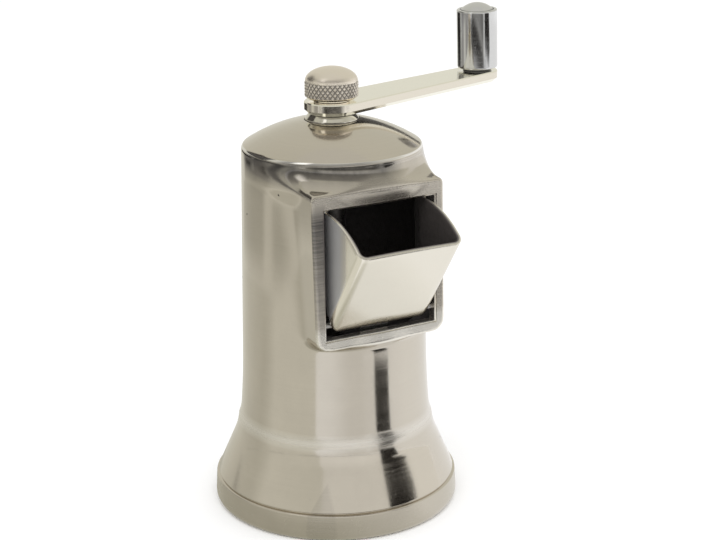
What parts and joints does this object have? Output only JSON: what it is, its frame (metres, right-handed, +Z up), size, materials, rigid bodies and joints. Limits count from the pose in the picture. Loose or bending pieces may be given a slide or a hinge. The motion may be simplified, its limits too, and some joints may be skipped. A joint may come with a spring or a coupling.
{
  "type": "hand crank salt mill",
  "caption": "Salt mill with a cast metal body, a top crank with a turning grip, an adjustable burr grinder and a tip-out filling hopper.",
  "frame": {"origin": "centre of the foot's rest plane, on the spindle axis", "axes": "+Z up along the spindle; -Y towards the hopper; +X to the right seen from the hopper side"},
  "size_m": [0.0916, 0.0716, 0.1248],
  "materials": {
    "polished_casting": "hand-polished sand casting, near mirror",
    "hopper_metal": "polished sheet and casting",
    "bright_plating": "bright plated, polished",
    "plain_steel": "machined",
    "spring_steel": "drawn spring steel",
    "burr_steel": "hardened, sharp teeth",
    "bridge_metal": "cast, linished",
    "bush_brass": "turned bearing brass"
  },
  "bodies": {
    "casting": {"body_casting": "polished_casting", "top_bush": "bright_plating", "stator_ring": "burr_steel", "stator_key": "plain_steel", "bridge": "bridge_metal", "bridge_screws": "plain_steel", "lower_bush": "bush_brass", "hinge_pin": "plain_steel", "hopper_leaf": "spring_steel", "leaf_screw": "plain_steel", "spindle_spring": "spring_steel"},
    "crank": {"crank_arm": "bright_plating", "grip_pin": "bright_plating", "grip_washer": "plain_steel"},
    "grip": {"grip": "bright_plating"},
    "nut": {"cap_nut": "bright_plating"},
    "spindle": {"spindle": "plain_steel", "spring_washer": "plain_steel", "spindle_clip": "spring_steel", "rotor_burr": "burr_steel", "rotor_nut": "plain_steel"},
    "hopper": {"hopper": "hopper_metal"}
  },
  "joints": [
    {"name": "crank_turn", "type": "hinge", "parent": "casting", "child": "crank", "pos_m": [0, 0, 0.10345], "axis": [0, 0, 1], "continuous": true},
    {"name": "grip_spin", "type": "hinge", "parent": "crank", "child": "grip", "pos_m": [0.05386, 0.01534, 0.10645], "axis": [-0.0336, -0.0096, 0.9994], "continuous": true},
    {"name": "grind_nut_turn", "type": "hinge", "parent": "crank", "child": "nut", "pos_m": [0, 0, 0.10645], "axis": [0, 0, 1], "range_deg": [-120, 360]},
    {"name": "spindle_lift", "type": "slide", "parent": "crank", "child": "spindle", "axis": [0, 0, 1], "range_m": [-0.000699, 0.000233], "deforming": ["spindle_spring"]},
    {"name": "hopper_tilt", "type": "hinge", "parent": "casting", "child": "hopper", "pos_m": [0, -0.0225, 0.056], "axis": [-1, 0, 0], "range_deg": [0, 35]}
  ],
  "couplings": [
    {"joint": "grind_nut_turn", "follows": "spindle_lift", "rad_per_m": -8976}
  ]
}
